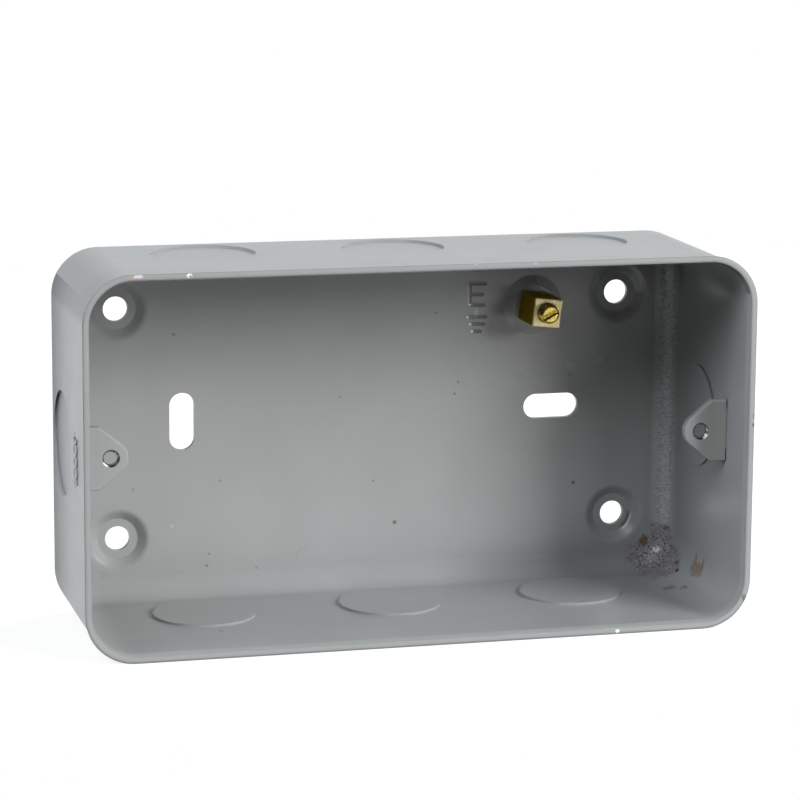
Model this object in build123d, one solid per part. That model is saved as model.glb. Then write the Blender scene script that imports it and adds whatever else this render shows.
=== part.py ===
from build123d import *
import os
from math import acos, atan, atan2, cos, degrees, hypot, sin, tan

# A two-gang steel mounting box for wiring accessories, in millimetres.
# +X runs along the length, +Z is up, and the open face looks along -Y.
# The origin is on the mounting plane, at the centre of the four corner fixing holes.
# A depth is counted forward from the mounting plane, so a depth d lies at y = -d.

# Drawn shell
sheet = 1.2
rim_length = 134.9
rim_height = 75.6
box_depth = 47.0
rim_corner_r = 9.8
rim_flare = 0.4
flare_length = 1.6
flare_bend_r = 2.0
base_outer_r = 5.7

# Four corner dimples that stand the box off the wall, with a screw hole in each
corner_hole_inset_x = 14.25
corner_hole_inset_z = 14.0
corner_hole_r = 2.55
dimple_rise = 1.5
dimple_flat_r = 4.2
dimple_mouth_r = 6.0
dimple_bend_r = 0.4
ring_margin = 0.2

# The middle row of features sits a little above the centre line, as photographed
middle_z = 0.3

# Two screw slots in the back, one upright and one level
slot_width = 5.2
slot_length = 11.9
upright_slot_x = -39.9
level_slot_x = 38.8

# Half-sheared discs for 20 mm conduit, three in each long wall and one in each end
knockout_r = 10.45
knockout_push = 0.5
knockout_depth = 18.7
knockout_pitch = 38.6

# Lugs that take the accessory's screws, tapped M3.5 at a standard 120.6 mm spacing
lug_hole_inset = 7.15
lug_sheet = 1.6
lug_face_depth = 35.8
lug_root_width = 12.6
lug_root_length = 3.3
lug_nose_r = 3.5
lug_edge_r = 0.35
lug_tap_r = 1.475
lug_tap_mouth_r = 1.8
tongue_width = 8.8
tongue_z = 0.1
tongue_clearance = 0.05
bead_count = 5
bead_pitch = 2.3
bead_overlap = 0.12
bead_half_width = 1.8
bead_lean = 0.8
bead_proud = 0.3
bead_edge = 0.15
punch_r = 1.9
punch_depth = 0.2

# Earth terminal: a brass bar riveted on a raised pad, turned a little in its rivet
terminal_x = 34.5
terminal_z = 21.85
terminal_turn = 6.7
pad_rise = 1.0
pad_flat_r = 4.1
pad_mouth_r = 5.95
bar_side = 6.0
bar_length = 9.8
bar_edge_r = 0.3
spigot_r = 1.9
spigot_clearance = 0.02
rivet_head_r = 2.9
rivet_head_thick = 0.75
rivet_edge_r = 0.35
wire_hole_r = 1.7
wire_hole_setback = 5.2
wire_hole_chamfer = 0.25
bore_overrun = 1.2

# Terminal screw, M4, without a head
screw_r = 1.98
screw_clearance = 0.02
screw_length = 5.0
screw_proud = 2.2
screw_chamfer = 0.25
screw_slot_width = 0.95
screw_slot_depth = 1.1
screw_slot_angle = 29.0
tap_mouth_chamfer = 0.15

# Sizes that follow from the ones above
wall_length = rim_length - 2 * rim_flare
wall_height = rim_height - 2 * rim_flare
wall_corner_r = rim_corner_r - rim_flare
flare_angle = degrees(atan(rim_flare / flare_length))
back_depth = dimple_rise
floor_depth = back_depth + sheet
inner_x = wall_length / 2 - sheet
hole_pitch_x = rim_length - 2 * corner_hole_inset_x
hole_pitch_z = rim_height - 2 * corner_hole_inset_z
lug_hole_spacing = rim_length - 2 * lug_hole_inset
pad_depth = floor_depth + pad_rise
bar_face_depth = pad_depth + bar_length
tap_r = screw_r + screw_clearance
tap_depth = wire_hole_setback + wire_hole_r + bore_overrun
touch = 1e-4


def plane_at(depth):
    """Plane parallel to the wall; its local axes are world X and Z, and it faces forward."""
    return Plane.XZ.offset(depth)


def drawn_solid(inset, start_depth, base_r):
    """A solid drawn cup: rounded walls that flare at the rim, and a rounded base edge."""
    outline = RectangleRounded(
        wall_length - 2 * inset, wall_height - 2 * inset, wall_corner_r - inset
    )
    flare_start = box_depth - flare_length
    cup = extrude(plane_at(start_depth) * outline, flare_start - start_depth)
    cup = fillet(edges_at_depth(cup, start_depth), base_r)
    lip = extrude(plane_at(flare_start) * outline, flare_length, taper=-flare_angle)
    cup = cup + lip
    return fillet(edges_at_depth(cup, flare_start), flare_bend_r)


def edges_at_depth(solid, depth):
    """The edges that lie flat at one depth."""
    return [
        edge
        for edge in solid.edges()
        if abs(edge.bounding_box().min.Y + depth) < touch
        and abs(edge.bounding_box().max.Y + depth) < touch
    ]


def rounded_outline(corners):
    """A face through the given corners, each a (radius out, y, bend radius) triple."""
    face = make_face(Polyline(*[(u, v) for u, v, bend in corners], close=True))
    for u, v, bend in corners:
        if bend > 0:
            sharp = face.vertices().sort_by_distance((u, v, 0))[0]
            face = fillet(sharp, bend)
    return face


def pressed_disc(flat_r, mouth_r, rise, forward):
    """A disc of the back sheet with a round pressing in it, sheet thickness kept."""
    slope = atan(rise / (mouth_r - flat_r))
    shift = sheet * tan(slope / 2)
    outer_bend = dimple_bend_r + sheet
    ring_r = mouth_r + shift + outer_bend * tan(slope / 2) + ring_margin
    corners = [
        (0, rise - sheet, 0),
        (flat_r, rise - sheet, dimple_bend_r),
        (mouth_r, -sheet, outer_bend),
        (ring_r, -sheet, 0),
        (ring_r, 0, 0),
        (mouth_r + shift, 0, dimple_bend_r),
        (flat_r + shift, rise, outer_bend),
        (0, rise, 0),
    ]
    if forward:
        corners = [(u, -sheet - v, bend) for u, v, bend in corners]
    blank = Cylinder(ring_r, sheet, rotation=(90, 0, 0)).translate((0, -sheet / 2, 0))
    return revolve(rounded_outline(corners), Axis.Y), blank


def press_into(shell, x, z, flat_r, mouth_r, rise, forward):
    """Swap a round patch of the back for the same patch with a pressing in it."""
    disc, blank = pressed_disc(flat_r, mouth_r, rise, forward)
    place = Location((x, -back_depth, z))
    return shell - place * blank + place * disc


def corner_points():
    """Centres of the four corner holes."""
    return [
        (i * hole_pitch_x / 2, j * hole_pitch_z / 2) for i in (-1, 1) for j in (-1, 1)
    ]


def through_back(sketch):
    """A tool that cuts a shape straight through the back, dimples and pad included."""
    return extrude(plane_at(-sheet) * sketch, pad_depth + 2 * sheet)


def knockout_planes():
    """Planes on the outer wall faces, one per knockout, each facing outward."""
    top = Vector(0, 0, 1)
    end = Vector(1, 0, 0)
    planes = []
    for side in (-1, 1):
        for step in (-1, 0, 1):
            centre = (step * knockout_pitch, -knockout_depth, side * wall_height / 2)
            planes.append(Plane(origin=centre, x_dir=(1, 0, 0), z_dir=top * side))
        centre = (side * wall_length / 2, -knockout_depth, middle_z)
        planes.append(Plane(origin=centre, x_dir=(0, 1, 0), z_dir=end * side))
    return planes


def half_shear(shell, plane):
    """Push one disc of the wall inward so that it stays on by the rest of its thickness."""
    disc = Circle(knockout_r)
    shell = shell + extrude(plane.offset(-sheet) * disc, -knockout_push)
    return shell - extrude(plane * disc, -knockout_push)


def tongue_slit(side):
    """The slit in an end wall that a lug's tongue goes through."""
    slit = Box(
        2 * sheet,
        lug_sheet + 2 * tongue_clearance,
        tongue_width + 2 * tongue_clearance,
    )
    return slit.translate(
        (side * (inner_x + sheet / 2), -(lug_face_depth - lug_sheet / 2), tongue_z)
    )


def box_shell():
    """The pressed box, one piece of sheet steel."""
    outer = drawn_solid(0, back_depth, base_outer_r)
    shell = outer - drawn_solid(sheet, floor_depth, base_outer_r - sheet)
    for x, z in corner_points():
        shell = press_into(
            shell, x, z, dimple_flat_r, dimple_mouth_r, dimple_rise, forward=False
        )
        shell = shell - through_back(Pos(x, z) * Circle(corner_hole_r))
    shell = press_into(
        shell, terminal_x, terminal_z, pad_flat_r, pad_mouth_r, pad_rise, forward=True
    )
    rivet_hole = Circle(spigot_r + spigot_clearance)
    shell = shell - through_back(Pos(terminal_x, terminal_z) * rivet_hole)
    slot = SlotOverall(slot_length, slot_width)
    shell = shell - through_back(Pos(level_slot_x, middle_z) * slot)
    shell = shell - through_back(Pos(upright_slot_x, middle_z) * Rot(0, 0, 90) * slot)
    for plane in knockout_planes():
        shell = half_shear(shell, plane)
    for side in (-1, 1):
        shell = shell - tongue_slit(side)
    return shell


def lug_outline(side):
    """A lug seen from the front: straight root, tapered sides and a round nose."""
    hole_x = lug_hole_spacing / 2
    shoulder_x = inner_x - lug_root_length
    half_root = lug_root_width / 2
    reach = hypot(shoulder_x - hole_x, half_root)
    turn = atan2(half_root, shoulder_x - hole_x) + acos(lug_nose_r / reach)
    tangent = (hole_x + lug_nose_r * cos(turn), lug_nose_r * sin(turn))
    upper = [(inner_x, half_root), (shoulder_x, half_root), tangent]
    lower = [(x, -z) for x, z in reversed(upper)]
    points = [(side * x, z) for x, z in upper + lower]
    plate = make_face(Polyline(*points, close=True))
    return Pos(0, middle_z) * (plate + Pos(side * hole_x, 0) * Circle(lug_nose_r))


def staked_head(side):
    """The tongue's end outside the wall: beads in a row, each spread by a round punch."""
    start = (side * wall_length / 2, -bead_lean, 0)
    outward = Plane(origin=start, x_dir=(0, 1, 0), z_dir=(side, 0, 0))
    head = None
    for i in range(bead_count):
        z = (i - (bead_count - 1) / 2) * bead_pitch
        oval = Ellipse(bead_half_width, bead_pitch / 2 + bead_overlap)
        bead = extrude(oval, bead_proud)
        bead = chamfer(bead.edges().group_by(Axis.Z)[-1], bead_edge)
        dent = Sphere(punch_r).translate((0, 0, bead_proud - punch_depth + punch_r))
        bead = outward * (Pos(0, side * z, 0) * (bead - dent))
        head = bead if head is None else head + bead
    return head & Box(2 * rim_length, 2 * rim_length, tongue_width)


def fixing_lug(side):
    """One lug: tapped plate inside the wall, tongue through it, staked head outside."""
    plate = extrude(plane_at(lug_face_depth - lug_sheet) * lug_outline(side), lug_sheet)
    front = edges_at_depth(plate, lug_face_depth)
    plate = fillet([e for e in front if abs(e.center().X) < inner_x - touch], lug_edge_r)
    mid_depth = lug_face_depth - lug_sheet / 2
    tongue_start = inner_x - lug_root_length / 2
    tongue_end = inner_x + sheet
    tongue = Box(tongue_end - tongue_start, lug_sheet - 2 * touch, tongue_width)
    tongue_x = side * (tongue_start + tongue_end) / 2
    lug = plate + tongue.translate((tongue_x, -mid_depth, tongue_z))
    lug = lug + staked_head(side).translate((0, -mid_depth, tongue_z))
    at_hole = Pos(side * lug_hole_spacing / 2, middle_z)
    lug = lug - extrude(plane_at(0) * at_hole * Circle(lug_tap_r), box_depth)
    mouth = Cone(
        lug_tap_r,
        lug_tap_mouth_r,
        lug_tap_mouth_r - lug_tap_r,
        align=(Align.CENTER, Align.CENTER, Align.MAX),
    )
    return lug - plane_at(lug_face_depth) * at_hole * mouth


def at_terminal(depth):
    """Plane across the terminal's own axis, turned with the bar."""
    turned = Rot(0, terminal_turn, 0)
    return Location((terminal_x, -depth, terminal_z)) * turned * Location(Plane.XZ)


def earth_terminal_block():
    """Square brass bar with a spigot riveted over in the hollow behind the pad."""
    bar = extrude(at_terminal(pad_depth) * Rectangle(bar_side, bar_side), bar_length)
    bar = fillet(edges_off_base(bar), bar_edge_r)
    spigot = extrude(at_terminal(pad_depth - sheet) * Circle(spigot_r), sheet + bar_edge_r)
    head_depth = pad_depth - sheet - rivet_head_thick
    head = extrude(at_terminal(head_depth) * Circle(rivet_head_r), rivet_head_thick)
    head = fillet(edges_at_depth(head, head_depth), rivet_edge_r)
    block = bar + spigot + head
    tap = extrude(at_terminal(bar_face_depth) * Circle(tap_r), -tap_depth)
    mouth = Cone(
        tap_r,
        tap_r + tap_mouth_chamfer,
        tap_mouth_chamfer,
        align=(Align.CENTER, Align.CENTER, Align.MAX),
    )
    block = block - tap - at_terminal(bar_face_depth) * mouth
    return block - wire_hole()


def edges_off_base(bar):
    """Every edge of the bar apart from those on the pad."""
    return [e for e in bar.edges() if e.bounding_box().min.Y < -pad_depth - touch]


def wire_hole():
    """Cross hole for the earth wire, with a small countersink at each end."""
    hole = Cylinder(wire_hole_r, 2 * bar_side)
    for end in (-1, 1):
        sink = Cone(
            wire_hole_r,
            wire_hole_r + wire_hole_chamfer,
            wire_hole_chamfer,
            align=(Align.CENTER, Align.CENTER, Align.MAX),
        )
        sink = sink if end > 0 else mirror(sink, Plane.XY)
        hole = hole + sink.translate((0, 0, end * bar_side / 2))
    turned = Rot(0, terminal_turn, 0) * hole
    centre_y = -(bar_face_depth - wire_hole_setback)
    return turned.translate((terminal_x, centre_y, terminal_z))


def earth_terminal_screw():
    """Headless brass screw, chamfered at both ends, with a driver slot."""
    tip = bar_face_depth + screw_proud - screw_length
    screw = extrude(at_terminal(tip) * Circle(screw_r), screw_length)
    ends = [e for e in screw.edges() if e.geom_type == GeomType.CIRCLE]
    screw = chamfer(ends, screw_chamfer)
    face = at_terminal(tip + screw_length)
    bar = Rot(0, 0, screw_slot_angle) * Rectangle(3 * screw_r, screw_slot_width)
    return screw - extrude(face * bar, -screw_slot_depth)


def save(node, solid):
    """Write one node, and say what it measures."""
    export_step(solid, f"parts/{node}.step")
    box = solid.bounding_box()
    print(node, "solids", len(solid.solids()), "volume", round(solid.volume, 2))
    print("  from", [round(c, 3) for c in box.min], "to", [round(c, 3) for c in box.max])


os.makedirs("parts", exist_ok=True)
save("box_shell", box_shell())
save("fixing_lug_left", fixing_lug(-1))
save("fixing_lug_right", fixing_lug(1))
save("earth_terminal_block", earth_terminal_block())
save("earth_terminal_screw", earth_terminal_screw())
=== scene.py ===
# %% [markdown]
# # A steel mounting box, dressed for its portrait
# The box is drawn from one sheet of steel and dipped in grey enamel. Two tapped lugs and a
# brass earth terminal are fastened in it. The CAD model already has those shapes, so this
# lesson loads it and adds what CAD leaves out: finish, small threads, a pressed sign, and light.

# %% Load the CAD model
import math

import bpy
import bmesh
from mathutils import Matrix, Vector


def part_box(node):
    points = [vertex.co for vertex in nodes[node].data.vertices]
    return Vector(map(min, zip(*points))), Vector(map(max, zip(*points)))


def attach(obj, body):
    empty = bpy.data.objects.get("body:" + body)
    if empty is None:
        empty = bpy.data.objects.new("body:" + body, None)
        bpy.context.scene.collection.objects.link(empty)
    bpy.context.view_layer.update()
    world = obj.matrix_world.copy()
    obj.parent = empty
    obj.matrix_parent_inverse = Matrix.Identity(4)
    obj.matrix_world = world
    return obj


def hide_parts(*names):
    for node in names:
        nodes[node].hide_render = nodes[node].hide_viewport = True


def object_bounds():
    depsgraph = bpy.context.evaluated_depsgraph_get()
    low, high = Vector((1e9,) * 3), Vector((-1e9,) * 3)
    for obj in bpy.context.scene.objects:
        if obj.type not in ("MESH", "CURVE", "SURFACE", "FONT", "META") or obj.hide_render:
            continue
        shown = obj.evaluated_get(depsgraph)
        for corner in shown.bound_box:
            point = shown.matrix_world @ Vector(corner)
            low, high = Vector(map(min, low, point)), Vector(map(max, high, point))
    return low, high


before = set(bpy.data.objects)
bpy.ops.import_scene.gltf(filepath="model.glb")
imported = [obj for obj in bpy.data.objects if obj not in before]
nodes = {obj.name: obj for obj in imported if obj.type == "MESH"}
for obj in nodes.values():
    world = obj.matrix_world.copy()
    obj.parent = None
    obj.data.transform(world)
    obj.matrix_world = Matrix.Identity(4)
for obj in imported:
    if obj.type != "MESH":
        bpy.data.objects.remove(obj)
cad_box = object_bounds()
MM = 0.001
print("CAD nodes:", sorted(nodes))

# %% [markdown]
# ## The camera
# The photograph was taken from the front left and a little above, with a long lens.
# A camera looks along its own -Z, so its matrix is made of three directions: right, up and
# backward. They and the lens were worked out from the known places of the holes and the rim.

# %% Camera
RIGHT = Vector((0.96704075, -0.25452733, 0.00693028))
UP = Vector((0.04146919, 0.18429416, 0.98199591))
FORWARD = Vector((0.25122201, 0.94934267, -0.188775))
EYE = Vector((-0.16579, -0.65222, 0.13200))

lens = bpy.data.cameras.new("portrait_lens")
lens.lens = 148.43
lens.sensor_width = 36
lens.clip_start = 0.01
camera = bpy.data.objects.new("portrait_camera", lens)
axes = Matrix((RIGHT, UP, -FORWARD)).transposed().to_4x4()
camera.matrix_world = Matrix.Translation(EYE) @ axes
bpy.context.scene.collection.objects.link(camera)
bpy.context.scene.camera = camera
bpy.context.scene.view_settings.view_transform = "Standard"
print("camera at", [round(c, 3) for c in EYE], "lens", lens.lens, "mm")

# %% [markdown]
# ## A softbox
# A softbox is an area lamp. Each one here stands 2 m from the box and is given by the
# direction that it comes from, how wide and high it looks from the box, and how bright its
# face is. A sun or a spot lamp would cast hard shadows, and a softbox casts soft ones. An area
# lamp's energy grows with its area, so the helper works it out from those numbers.

# %% Softbox helper
LAMP_DISTANCE = 2.0
NEUTRAL = (1, 1, 1)


def softbox(name, azimuth, elevation, half_wide, half_high, brightness, tint=NEUTRAL, glossy=True):
    """An area lamp that looks at the origin; all angles are in degrees."""
    lamp = bpy.data.lights.new(name, "AREA")
    lamp.shape = "RECTANGLE"
    lamp.size = 2 * LAMP_DISTANCE * math.tan(math.radians(half_wide))
    lamp.size_y = 2 * LAMP_DISTANCE * math.tan(math.radians(half_high))
    lamp.energy = 4 * math.pi * lamp.size * lamp.size_y * brightness
    lamp.color = tint
    turn, lift = math.radians(azimuth), math.radians(elevation)
    toward = Vector(
        (math.sin(turn) * math.cos(lift), -math.cos(turn) * math.cos(lift), math.sin(lift))
    )
    holder = bpy.data.objects.new(name, lamp)
    holder.location = toward * LAMP_DISTANCE
    holder.rotation_euler = (-toward).to_track_quat("-Z", "Y").to_euler()
    holder.visible_camera = False
    bpy.context.scene.collection.objects.link(holder)
    holder.visible_glossy = glossy
    print(name, "energy", round(lamp.energy, 1), "W")


# %% [markdown]
# ## The lamps of this studio
# The big key lamp on the right front draws the soft shadow of the walls on the back of the
# box, and cool lamps on the left and above fill the outside. The key and the left lamp are
# hidden from gloss rays: they stand low, and from the other side the flat painted top would
# mirror them as one white patch. Hiding a lamp from gloss keeps the light that it sheds.

# %% Softboxes
COOL = (0.95, 0.99, 1.05)
softbox("key_box", 40, 20, 10, 10, 5.22, glossy=False)
softbox("key_side", 55, 30, 5, 20, 1.51)
softbox("table_glow", 35, -5, 15, 5, 0.98)
softbox("front_low", 0, -20, 11, 11, 0.27)
softbox("front_high", -30, 40, 11, 11, 1.10, COOL)
softbox("left_high", -60, 40, 11, 11, 0.97, COOL)
softbox("left_box", -84, 20, 11, 11, 2.35, COOL, glossy=False)
softbox("back_high", 120, 40, 11, 11, 3.15, COOL)

# %% [markdown]
# ## White surroundings
# A camera ray that misses the box shows the world at strength 1, which is white, while the
# world gives no light of its own. Light Path tells the kinds of ray apart. A world that is
# bright to every ray would be white too, but it would flatten the shadows in the box.

# %% World
world = bpy.data.worlds.new("white_room")
bpy.context.scene.world = world
world.use_nodes = True
room = world.node_tree
room_light = room.nodes["Background"]
room_light.inputs["Color"].default_value = (1, 1, 1, 1)
ray = room.nodes.new("ShaderNodeLightPath")
seen = room.nodes.new("ShaderNodeMath")
seen.operation = "MAXIMUM"
room.links.new(ray.outputs["Is Camera Ray"], seen.inputs[0])
room.links.new(ray.outputs["Is Transmission Ray"], seen.inputs[1])
room.links.new(seen.outputs[0], room_light.inputs["Strength"])
print("world nodes:", len(room.nodes))

# %% [markdown]
# ## Paper
# The box stands on white paper, and a second sheet curves up behind it. The floor keeps the
# shadow under the box: most of its white is given, and the rest comes from the lamps. The
# paper behind is seen only in the gloss of paint and brass, so it never hides the box from a
# camera that looks from the back.

# %% Paper helpers
def paper_strip(name, profile, half_length):
    """A sheet that runs along X through the given (y, z) points."""
    mesh = bpy.data.meshes.new(name)
    rows = [(x, y, z) for y, z in profile for x in (-half_length, half_length)]
    steps = range(len(profile) - 1)
    mesh.from_pydata(rows, [], [(2 * i, 2 * i + 1, 2 * i + 3, 2 * i + 2) for i in steps])
    strip = bpy.data.objects.new(name, mesh)
    bpy.context.scene.collection.objects.link(strip)
    strip.visible_diffuse = False
    strip.visible_shadow = False
    return strip


def white_paper(name, given, grey):
    """Paper that shows a given white, and adds the lamps' light by its grey."""
    paper = bpy.data.materials.new(name)
    paper.use_nodes = True
    shader = paper.node_tree.nodes["Principled BSDF"]
    shader.inputs["Base Color"].default_value = (grey, grey, grey, 1)
    shader.inputs["Roughness"].default_value = 1.0
    shader.inputs["Specular IOR Level"].default_value = 0.0
    shader.inputs["Emission Color"].default_value = (1, 1, 1, 1)
    shader.inputs["Emission Strength"].default_value = given
    return paper


print("ready to cut and colour paper")

# %% Floor and backdrop
FLOOR_Z = cad_box[0][2] - 0.1 * MM
FLOOR_FRONT, FLOOR_BACK = -0.10, 0.45
PAPER_HALF = 0.6
CURVE_R, CURVE_STEPS = 0.15, 12
PAPER_TOP = 0.80

floor = paper_strip("paper_floor", [(FLOOR_FRONT, FLOOR_Z), (FLOOR_BACK, FLOOR_Z)], PAPER_HALF)
floor.data.materials.append(white_paper("floor_paper", 0.83, 0.3))
curve = []
for step in range(CURVE_STEPS + 1):
    angle = math.radians(-90 + 90 * step / CURVE_STEPS)
    y = FLOOR_BACK + CURVE_R * math.cos(angle)
    curve.append((y, FLOOR_Z + CURVE_R + CURVE_R * math.sin(angle)))
backdrop = paper_strip("paper_backdrop", curve + [(curve[-1][0], PAPER_TOP)], PAPER_HALF)
backdrop.data.materials.append(white_paper("backdrop_paper", 0.6, 0.1))
backdrop.visible_camera = False
print("floor at z", round(FLOOR_Z, 5))

# %% [markdown]
# ## A short way to write finishes
# A finish is a tree of nodes that ends in one shader. The nodes could be placed by hand in the
# editor, but a script can be read, changed and run again. This first class keeps the tree.
# Places are in metres in the model's own frame, because every CAD piece has its origin at
# the frame's origin, so a mark stays on its spot when the camera moves.

# %% Node tree helper
class NodeTree:
    """One material's nodes: its shader and its place in the model."""

    def __init__(self, name, **sockets):
        self.material = bpy.data.materials.new(name)
        self.material.use_nodes = True
        self.tree = self.material.node_tree
        self.shader = self.tree.nodes["Principled BSDF"]
        for socket, value in sockets.items():
            self.shader.inputs[socket.replace("_", " ")].default_value = value
        self.place = self.node("ShaderNodeTexCoord").outputs["Object"]
        self.x, self.y, self.z = self.parts(self.place)
        self.clouds = {}

    def node(self, kind, **settings):
        """A new node with its settings, such as the operation of a Math node."""
        new = self.tree.nodes.new(kind)
        for setting, value in settings.items():
            setattr(new, setting, value)
        return new

    def feed(self, socket, value):
        """Link an output to a socket, or write a number or colour on it."""
        if isinstance(value, bpy.types.NodeSocket):
            self.tree.links.new(value, socket)
        else:
            socket.default_value = value

    def parts(self, vector):
        """The x, y and z of a place or direction."""
        split = self.node("ShaderNodeSeparateXYZ")
        self.feed(split.inputs[0], vector)
        return [split.outputs[letter] for letter in "XYZ"]


def calls(helper):
    """The names of the calls that a class adds."""
    return [name for name in vars(helper) if name[0] != "_"]


print("tree:", calls(NodeTree))

# %% [markdown]
# ## Sums
# Nodes can reckon too: a Math node takes numbers, and a Vector Math node takes places and
# directions. One node holds one step, so these calls give a step or two a short name.

# %% Sum helper
class Sums(NodeTree):
    """Arithmetic on numbers and on directions."""

    def math(self, operation, a, b=0.0):
        step = self.node("ShaderNodeMath", operation=operation)
        self.feed(step.inputs[0], a)
        self.feed(step.inputs[1], b)
        return step.outputs[0]

    def times(self, first, *others):
        for other in others:
            first = self.math("MULTIPLY", first, other)
        return first

    def gap(self, a, b):
        """How far apart two numbers are."""
        return self.math("ABSOLUTE", self.math("SUBTRACT", a, b))

    def either(self, masks):
        """The largest of several masks."""
        most = masks[0]
        for mask in masks[1:]:
            most = self.math("MAXIMUM", most, mask)
        return most

    def vector(self, operation, a, b=(0, 0, 0)):
        step = self.node("ShaderNodeVectorMath", operation=operation)
        self.feed(step.inputs[0], a)
        self.feed(step.inputs[1], b)
        return step.outputs["Value" if operation in ("LENGTH", "DOT_PRODUCT") else "Vector"]


print("sums:", calls(Sums))

# %% [markdown]
# ## Masks
# A mark needs a mask: a number that is 1 on the mark and 0 off it. A painted image could hold
# the marks, but it blurs close up, and the box would have to be unwrapped flat for it. Numbers
# worked out from the place stay sharp at any distance. The same noise is asked for only once,
# since noise costs render time.

# %% Mask helper
class Masks(Sums):
    """Numbers from 0 to 1 that say where something is on the surface."""

    def fade(self, value, start, end, low=0.0, high=1.0):
        """Low up to start, high from end on, and a smooth step between."""
        step = self.node("ShaderNodeMapRange", interpolation_type="SMOOTHSTEP")
        self.feed(step.inputs["Value"], value)
        limits = {"From Min": start, "From Max": end, "To Min": low, "To Max": high}
        for socket, number in limits.items():
            step.inputs[socket].default_value = number
        return step.outputs["Result"]

    def fade_mm(self, value, start_mm, end_mm, low=0.0, high=1.0):
        return self.fade(value, start_mm * MM, end_mm * MM, low, high)

    def near(self, value, middle_mm, reach_mm):
        """1 where a coordinate is within reach of the middle, else 0."""
        step = self.node("ShaderNodeMath", operation="COMPARE")
        self.feed(step.inputs[0], value)
        step.inputs[1].default_value = middle_mm * MM
        step.inputs[2].default_value = reach_mm * MM
        return step.outputs[0]

    def noise(self, size_mm, detail=2.0, rough=0.5, stretch=(1, 1, 1)):
        """Cloudy noise from 0 to 1, with lumps of about the given size; equal ones are shared."""
        wanted = (size_mm, detail, rough, stretch)
        if wanted in self.clouds:
            return self.clouds[wanted]
        mapping = self.node("ShaderNodeMapping")
        self.feed(mapping.inputs["Vector"], self.place)
        mapping.inputs["Scale"].default_value = stretch
        cloud = self.node("ShaderNodeTexNoise")
        self.feed(cloud.inputs["Vector"], mapping.outputs[0])
        cloud.inputs["Scale"].default_value = 1 / (size_mm * MM)
        cloud.inputs["Detail"].default_value = detail
        cloud.inputs["Roughness"].default_value = rough
        self.clouds[wanted] = cloud.outputs["Fac"]
        return cloud.outputs["Fac"]


print("masks:", calls(Masks))

# %% [markdown]
# ## The shapes of marks
# A speck is a round or egg-shaped spot: the distance to its middle, divided by its radii. A
# scratch is a stroke: the distance to the nearest point of a straight line. Noise added to a
# distance makes the edge of a mark ragged, as wear does.

# %% Mark helper
def metres(values_mm):
    return [v * MM for v in values_mm]


class Marks(Masks):
    """Distances and spots at places that are given in millimetres."""

    def reach(self, middle_mm, keep):
        """Distance in metres to a point, or to a line along the axis that keep gives as 0."""
        off = self.vector("SUBTRACT", self.place, metres(middle_mm))
        return self.vector("LENGTH", self.vector("MULTIPLY", off, keep))

    def spot(self, centre_mm, radii_mm, edge=0.3, ragged=0.0, grain_mm=1.0):
        """1 inside an egg-shaped spot and 0 outside; ragged moves its edge by noise."""
        off = self.vector("SUBTRACT", self.place, metres(centre_mm))
        reach = self.vector("LENGTH", self.vector("DIVIDE", off, metres(radii_mm)))
        if ragged:
            wander = self.math("SUBTRACT", self.noise(grain_mm, 3), 0.5)
            reach = self.math("ADD", reach, self.times(wander, 2 * ragged))
        return self.fade(reach, 1 + edge, 1 - edge)

    def stroke(self, start_mm, end_mm):
        """Distance in metres from the surface point to a straight stroke."""
        start, end = Vector(start_mm) * MM, Vector(end_mm) * MM
        run = end - start
        from_start = self.vector("SUBTRACT", self.place, start)
        share = self.node("ShaderNodeMath", operation="MULTIPLY", use_clamp=True)
        self.feed(share.inputs[0], self.vector("DOT_PRODUCT", from_start, run))
        share.inputs[1].default_value = 1 / run.length_squared
        along = self.node("ShaderNodeVectorMath", operation="SCALE")
        along.inputs[0].default_value = run
        self.feed(along.inputs["Scale"], share.outputs[0])
        return self.vector("LENGTH", self.vector("SUBTRACT", from_start, along.outputs[0]))


print("marks:", calls(Marks))

# %% [markdown]
# ## Stains
# Dirt, rust and bare metal change the colour in one place. A Mix node lays one colour over
# another by a mask, and a stain is such a mix with a strength. Many stains in turn make the
# worn look, each over the last.

# %% Stain helper
class Stains(Marks):
    """Colours laid over colours."""

    def blend(self, amount, a, b):
        """Colour b over colour a."""
        mix = self.node("ShaderNodeMix", data_type="RGBA", blend_type="MIX")
        self.feed(mix.inputs["Factor"], amount)
        for socket, colour in zip(("A", "B"), (a, b)):
            target = [s for s in mix.inputs if s.name == socket and s.type == "RGBA"][0]
            if not isinstance(colour, bpy.types.NodeSocket):
                colour = (*colour, 1)
            self.feed(target, colour)
        return [s for s in mix.outputs if s.type == "RGBA"][0]

    def stain(self, colour, mask, strength, tint):
        """The colour with a tint laid over it inside a mask."""
        return self.blend(self.times(mask, strength), colour, tint)


print("stains:", calls(Stains))

# %% [markdown]
# ## Coats
# Real paint is laid on in coats, and so is this one. A coat has a colour, a gloss and a
# normal, and may cover the piece only inside a mask. Outside the mask the renderer skips it,
# so a region with costly detail, such as rust, doesn't slow the rest of the box. One shader
# for everything would look the same and take longer.

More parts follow.
